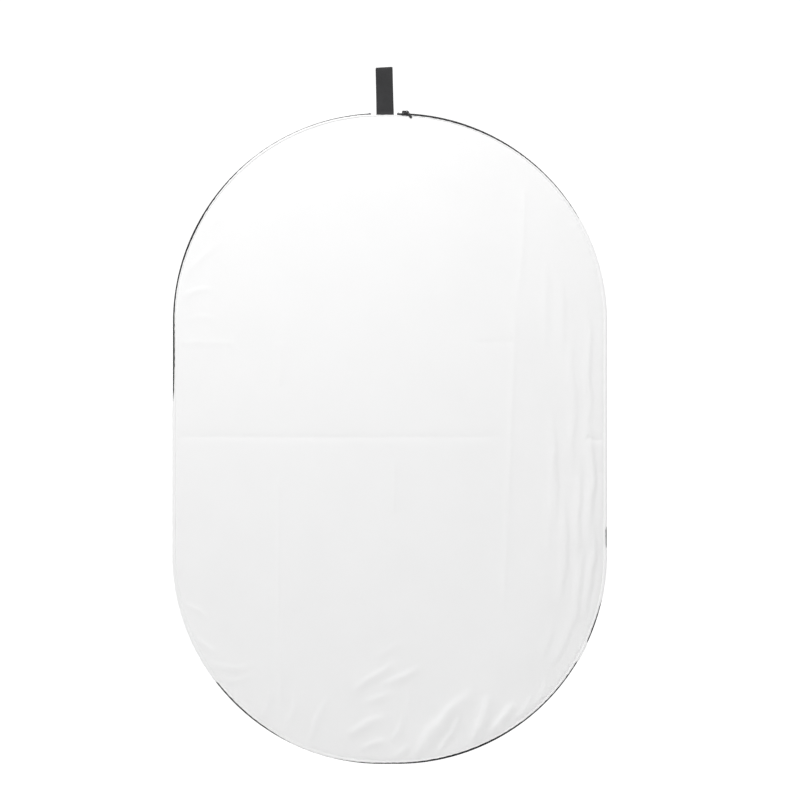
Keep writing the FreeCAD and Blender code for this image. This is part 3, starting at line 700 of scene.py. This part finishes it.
def hem(name, side, relief, seed):
    """The rolled edge of the cover, from the seam out over the rim and back under to the zip."""
    generator = np.random.default_rng(seed)
    along = np.linspace(0, RIM_LENGTH, HEM_STATIONS, endpoint=False)
    edge = edge_inset(along, side, generator)
    # the hem follows half of the face's relief beside it, and its roll is lower at each needle hole
    base = HALF_DEPTH + relief(*rim(along, SEAM_INSET + 2 * MM)) * 0.5
    stitch = 0.5 + 0.5 * np.cos(2 * math.pi * along / STITCH_PITCH)
    puff = HEM_PUFF * (1 - 0.35 * stitch)
    span = SEAM_INSET - edge
    section = [(SEAM_INSET + 0.5 * MM, base - 1.2 * MM), (SEAM_INSET + 0.1 * MM, base - 1.0 * MM)]
    for share, lift in HEM_ROLL:
        section.append((SEAM_INSET - share * span, base + lift * puff))
    for inwards, drop in HEM_LIP:
        section.append((edge + inwards * MM, base - drop * MM))
    return rim_strip(name, along, section, side, closed=True)


def stitches(name, side, relief):
    """A row of lock stitches in the groove of the seam."""
    count = round(RIM_LENGTH / STITCH_PITCH)
    middles = (np.arange(count) + 0.5) * STITCH_PITCH
    steps = np.linspace(-0.5, 0.5, 4) * STITCH_LENGTH
    along = middles[:, None] + steps[None, :]
    x, z = rim(along, SEAM_INSET + 0.05 * MM)
    arch = np.array([-0.12, 0.06, 0.06, -0.12]) * MM
    base = HALF_DEPTH - 0.8 * MM + relief(*rim(middles, SEAM_INSET + 2 * MM)) * 0.5
    y = MIDDLE_Y + side * (base[:, None] + arch[None, :])
    return chain(name, np.stack([x, y, z], axis=-1), THREAD_RADIUS)


def cover(side, name, fabric, lining, thread, relief, seed, nodes):
    """One side of the cover: face, lining, rolled hem and seam stitches."""
    face = oval_sheet(f"{name}_panel", side, FACE_RINGS, SEAM_INSET, HALF_DEPTH - 0.1 * MM, relief, SEAM_DIP)
    finish_piece(face, fabric, replaces=nodes[:1])
    inner = oval_sheet(f"{name}_lining_cloth", side, LINING_RINGS, SEAM_INSET + 3 * MM, HALF_DEPTH - 1.1 * MM,
                       lambda x, z: np.minimum(relief(x, z), 0.3 * relief(x, z)))
    finish_piece(inner, lining, replaces=nodes[1:2])
    edge = hem(f"{name}_hem", side, relief, seed)
    finish_piece(edge, fabric, replaces=nodes[2:])
    row = stitches(f"{name}_seam_stitches", side, relief)
    finish_piece(row, thread)


cover(FRONT, "front", WHITE, LINING, THREAD_WHITE, front_relief,
      FRONT_HEM_SEED, ["cover_front_face", "cover_front_lining", "slot_hem_front"])
cover(BACK, "back", GOLD, SILVER, THREAD_GOLD, back_relief,
      BACK_HEM_SEED, ["cover_back_face", "cover_back_lining", "slot_hem_back"])


# ---- Zip ----

TOOTH_PITCH = 1.5 * MM
TOOTH_RADIUS = 0.34 * MM
TAPE_STATIONS = 1100

# Inset and level in millimetres: the tape's section, and the path of one turn of the coil.
TAPE_SECTION = [
    (1.35, 0.3), (0.85, 0.7), (0.72, 1.6), (0.85, 2.6), (1.4, 3.3), (1.7, 3.7), (2.0, 3.95), (5.0, 4.2),
    (11.5, 4.4), (11.5, 4.05), (5.0, 3.85), (2.2, 3.6), (1.9, 3.3), (1.75, 1.5), (1.75, 0.3),
]
COIL_TURN = [(1.25, 3.05), (0.62, 3.2), (0.38, 2.7), (0.36, 0.62), (0.6, 0.12), (1.1, 0.14)]


def zip_tape(side, node):
    """The woven tape: it carries the coil, then turns under the cover's hem."""
    along = np.linspace(ZIP_START, ZIP_END, TAPE_STATIONS)
    ripple = 0.08 * MM * np.sin(along * 2 * math.pi / (23 * MM))
    section = [(inset * MM + ripple, level * MM) for inset, level in TAPE_SECTION]
    tape = rim_strip(f"{node}_woven", along, section, side, closed=False, wrap_section=True)
    finish_piece(tape, TAPE, replaces=[node])


def zip_coil(side, node, start):
    """The coil: each turn is a nylon loop that rises from the tape, crosses to the middle and dips."""
    stations = np.arange(ZIP_START + start, ZIP_END, TOOTH_PITCH)
    loop = np.array(COIL_TURN) * MM
    skew = np.array([-0.16, -0.12, -0.06, 0.1, 0.14, 0.16]) * TOOTH_PITCH
    along = stations[:, None] + skew[None, :]
    # the first turns, beside the slot, stand a little apart
    parted = np.clip(1 - (stations - ZIP_START) / (9 * MM), 0, 1) * 0.5 * MM
    level = np.broadcast_to(loop[:, 1], along.shape) + parted[:, None] * (loop[:, 1] < 1 * MM)
    x, z = rim(along, np.broadcast_to(loop[:, 0], along.shape))
    teeth = chain(f"{node}_teeth", np.stack([x, MIDDLE_Y + side * level, z], axis=-1), TOOTH_RADIUS)
    finish_piece(teeth, COIL, replaces=[node])


zip_tape(FRONT, "zip_tape_front")
zip_tape(BACK, "zip_tape_back")
zip_coil(FRONT, "zip_coil_front", 0.5 * TOOTH_PITCH)
zip_coil(BACK, "zip_coil_back", TOOTH_PITCH)

# The metal parts keep their CAD meshes.
METAL_PARTS = {
    "zip_top_stop_front": CLIP, "zip_top_stop_back": CLIP, "zip_bottom_stop": CLIP, "slider_body": LACQUER,
    "slider_rail": LACQUER, "pull_link": WIRE, "pull_tab": LACQUER, "spring_steel_hoop": SPRING,
    "hoop_splice_sleeve": CRIMP,
}
for node, material in METAL_PARTS.items():
    part = frame["nodes"][node]
    part.data.materials.clear()
    part.data.materials.append(material)


# Sections of the web from left to right: millimetres from the rail's left side, and size.
CROWN_PLACES = [0.45, 0.45, 0.6, 1.0, 2.0, 4.0, 6.0, 7.2, 7.6, 7.75, 7.75]
CROWN_SIZES = [0.02, 0.7, 0.88, 1.0, 1.0, 1.0, 1.0, 1.0, 0.88, 0.7, 0.02]
CROWN_SQUARENESS = 0.45
CROWN_HALF_THICKNESS = 0.5 * MM


def slider_crown():
    """The cast web that fills the left half of the arch over the slider. The pull link has the right half."""
    body_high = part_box("slider_body")[1]
    rail_low, rail_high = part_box("slider_rail")
    low, high = body_high.z - 1.4 * MM, rail_high.z - 0.5 * MM
    turns = np.linspace(0, 2 * math.pi, 24, endpoint=False)
    across = CROWN_HALF_THICKNESS * np.sign(np.cos(turns)) * np.abs(np.cos(turns)) ** CROWN_SQUARENESS
    up = (high - low) / 2 * np.sign(np.sin(turns)) * np.abs(np.sin(turns)) ** CROWN_SQUARENESS
    places = rail_low.x + np.array(CROWN_PLACES) * MM
    shrink = np.array(CROWN_SIZES)
    x = np.broadcast_to(places[None, :], (len(turns), len(places)))
    y = MIDDLE_Y + across[:, None] * shrink[None, :]
    z = (low + high) / 2 + up[:, None] * shrink[None, :]
    web = grid_mesh("slider_crown", np.stack([x, y, z], axis=-1), wrap_rows=True)
    finish_piece(web, LACQUER, body="slider")


slider_crown()


# ---- Hoop binding and diffuser ----

# The binding's section on one side, outside and inside: inset and level in millimetres. The other side
# mirrors it.
BINDING_OUTSIDE = [(16.2, 0.7), (12.2, 0.8), (8.9, 3.9), (7.0, 4.0), (6.35, 3.7), (6.3, 0.0)]
BINDING_INSIDE = [(6.75, 0.0), (6.8, 3.3), (7.0, 3.5), (8.8, 3.4), (12.0, 0.25), (16.2, 0.2)]
BINDING_STATIONS = 700
DIFFUSER_RINGS = 56
DIFFUSER_SEED = 8


def inner_parts():
    """The tape bound round the hoop, and the diffuser stretched inside it."""
    along = np.linspace(0, RIM_LENGTH, BINDING_STATIONS, endpoint=False)
    gather = 0.12 * MM * np.sin(along * 2 * math.pi / (13 * MM))
    mirrored = [(inset, -level) for inset, level in reversed(BINDING_OUTSIDE[:-1])]
    mirrored_inside = [(inset, -level) for inset, level in reversed(BINDING_INSIDE[1:])]
    section = [(inset * MM, level * MM + gather * (level > 0.5) - gather * (level < -0.5))
               for inset, level in BINDING_OUTSIDE + mirrored + mirrored_inside + BINDING_INSIDE]
    binding = rim_strip("hoop_binding_tape", along, section, BACK, closed=True, wrap_section=True)
    finish_piece(binding, BINDING, replaces=["frame_binding"])

    generator = np.random.default_rng(DIFFUSER_SEED)
    panel = oval_sheet("diffuser_cloth", FRONT, DIFFUSER_RINGS, 12 * MM, 0.0,
                       lambda x, z: waves(x, z, generator, 8, 0.1, 0.4, 0.12 * MM))
    finish_piece(panel, DIFFUSER, replaces=["diffuser_panel"])


inner_parts()


# ---- Strap ----

STRAP_WIDTH = 32.2 * MM
WEBBING_PLY = 1.0 * MM
RIB_PITCH = 1.25 * MM
ARCH_RADIUS = 5.2 * MM
ARCH_DROP = 7.0 * MM
LOOP_FOOT = 0.602
LOOP_TWIST = math.radians(7)
STRAP_STEPS = 620
STRAP_COLUMNS = 17

# Half of the strap's route, from its foot: level in millimetres, height in metres. It lies out over the
# binding, comes together just above the rim, and parts again in the loop.
STRAP_ROUTE = [
    (0.7, 0.582), (1.2, 0.5855), (2.9, 0.5885), (4.42, 0.5915), (4.42, 0.594), (3.0, 0.5975), (1.1, 0.601),
    (0.62, 0.604), (0.6, 0.612), (0.7, 0.618), (1.3, 0.626), (2.6, 0.642), (4.2, 0.662),
]


def strap():
    """One length of webbing: up from the front tail, over the loop and down to the back tail."""
    tails_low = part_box("strap_tails")[0]
    loop_low, loop_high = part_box("strap_loop")
    centre_x = (loop_low.x + loop_high.x) / 2
    top = loop_high.z
    crown = top - ARCH_DROP
    side = [(0.7, tails_low.z), *STRAP_ROUTE, (5.1, crown)]
    front = [(-level * MM, height) for level, height in side]
    turns = np.linspace(0.3, math.pi - 0.3, 9)
    arch = [(-ARCH_RADIUS * math.cos(turn), crown + ARCH_RADIUS * math.sin(turn)) for turn in turns]
    back = [(-y, z) for y, z in reversed(front)]
    route = smooth_line(np.array(front + arch + back), STRAP_STEPS)
    steps = np.linalg.norm(np.diff(route, axis=0), axis=1)
    travel = np.concatenate([[0.0], np.cumsum(steps)])
    tangent = np.gradient(route, axis=0)
    tangent /= np.linalg.norm(tangent, axis=1, keepdims=True)
    normal = np.stack([-tangent[:, 1], tangent[:, 0]], axis=1)
    rib = 0.07 * MM * np.cos(2 * math.pi * travel / RIB_PITCH)

    across = np.concatenate([np.linspace(-1, 1, STRAP_COLUMNS), np.linspace(1, -1, STRAP_COLUMNS)])
    face = np.concatenate([np.ones(STRAP_COLUMNS), -np.ones(STRAP_COLUMNS)])
    # the webbing thins at its selvedges, and its ribs are a little uneven across
    selvedge = 1 - 0.55 * np.abs(across) ** 16
    half_ply = WEBBING_PLY / 2 * selvedge
    out = face * half_ply
    stripe = np.cos(across * math.pi * 6) * 0.25
    inside_selvedge = np.abs(across) < 0.97
    offset = out[None, :] + (rib[:, None] * (1 + stripe[None, :])) * face[None, :] * inside_selvedge[None, :]
    local_x = across * STRAP_WIDTH / 2
    y = route[:, :1] + normal[:, :1] * offset
    z = route[:, 1:] + normal[:, 1:] * offset
    x = np.broadcast_to(local_x, y.shape).copy()

    # towards its top the loop turns, narrows, leans left and stands higher on its right side
    rise = np.clip((z - LOOP_FOOT) / (top - LOOP_FOOT), 0, 1)
    twist = LOOP_TWIST * rise ** 1.3
    x *= 1 - 0.05 * rise
    turned_x = x * np.cos(twist) - y * np.sin(twist)
    turned_y = x * np.sin(twist) + y * np.cos(twist)
    lean = -0.7 * MM - 2.0 * MM * rise
    z = z + 1.1 * MM * rise * local_x / (STRAP_WIDTH / 2)
    points = np.stack([centre_x + turned_x + lean, MIDDLE_Y + turned_y, z], axis=-1)
    cloth = np.stack(np.broadcast_arrays(travel[:, None], local_x[None, :]), axis=-1)
    piece = grid_mesh("strap_webbing", points, wrap_columns=True, cloth=cloth)
    finish_piece(piece, WEBBING, body=None, replaces=["strap_tails", "strap_loop"])
    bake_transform(piece)


def smooth_line(points, count):
    """The points of a line, rounded by repeated corner cutting and spaced evenly."""
    for _ in range(3):
        cut = np.empty((2 * len(points), 2))
        cut[0], cut[-1] = points[0], points[-1]
        cut[1:-1:2] = 0.75 * points[:-1] + 0.25 * points[1:]
        cut[2:-1:2] = 0.25 * points[:-1] + 0.75 * points[1:]
        points = cut
    steps = np.linalg.norm(np.diff(points, axis=0), axis=1)
    travel = np.concatenate([[0.0], np.cumsum(steps)])
    even = np.linspace(0, travel[-1], count)
    return np.stack([np.interp(even, travel, points[:, axis]) for axis in (0, 1)], axis=1)


strap()
